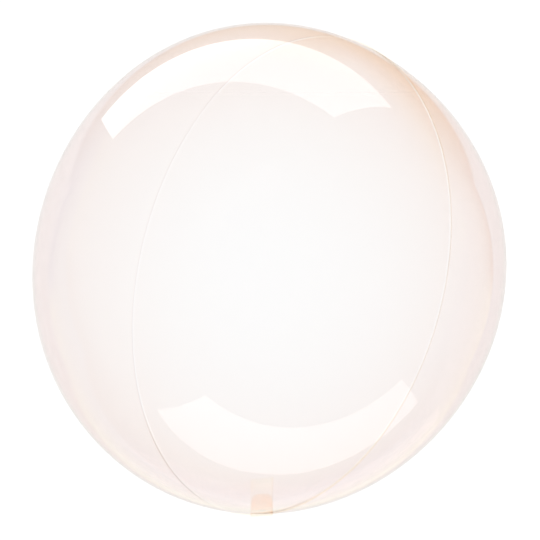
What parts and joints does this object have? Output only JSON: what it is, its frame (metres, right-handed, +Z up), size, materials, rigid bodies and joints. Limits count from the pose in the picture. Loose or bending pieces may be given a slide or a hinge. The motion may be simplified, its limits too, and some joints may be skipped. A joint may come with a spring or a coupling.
{
  "type": "clear bubble balloon",
  "caption": "Clear, faintly orange stretched-film bubble balloon, nearly round, with a welded seam and a flat valve, lying on a small flat spot.",
  "frame": {"origin": "on the flat spot that the balloon rests on, straight below the balloon's centre", "axes": "+Z up; the valve is low at the front, towards -Y, and the seam's axis points left, forwards and a little up"},
  "size_m": [0.4822, 0.4893, 0.4965],
  "materials": {
    "clear_film": "thin, glossy, see-through stretched film with a faint orange tint that deepens towards the rim",
    "valve_film": "two layers of glossy see-through film, tinted a deeper orange"
  },
  "bodies": {
    "root": {"film_envelope": "clear_film", "valve_insert": "valve_film"}
  },
  "joints": []
}
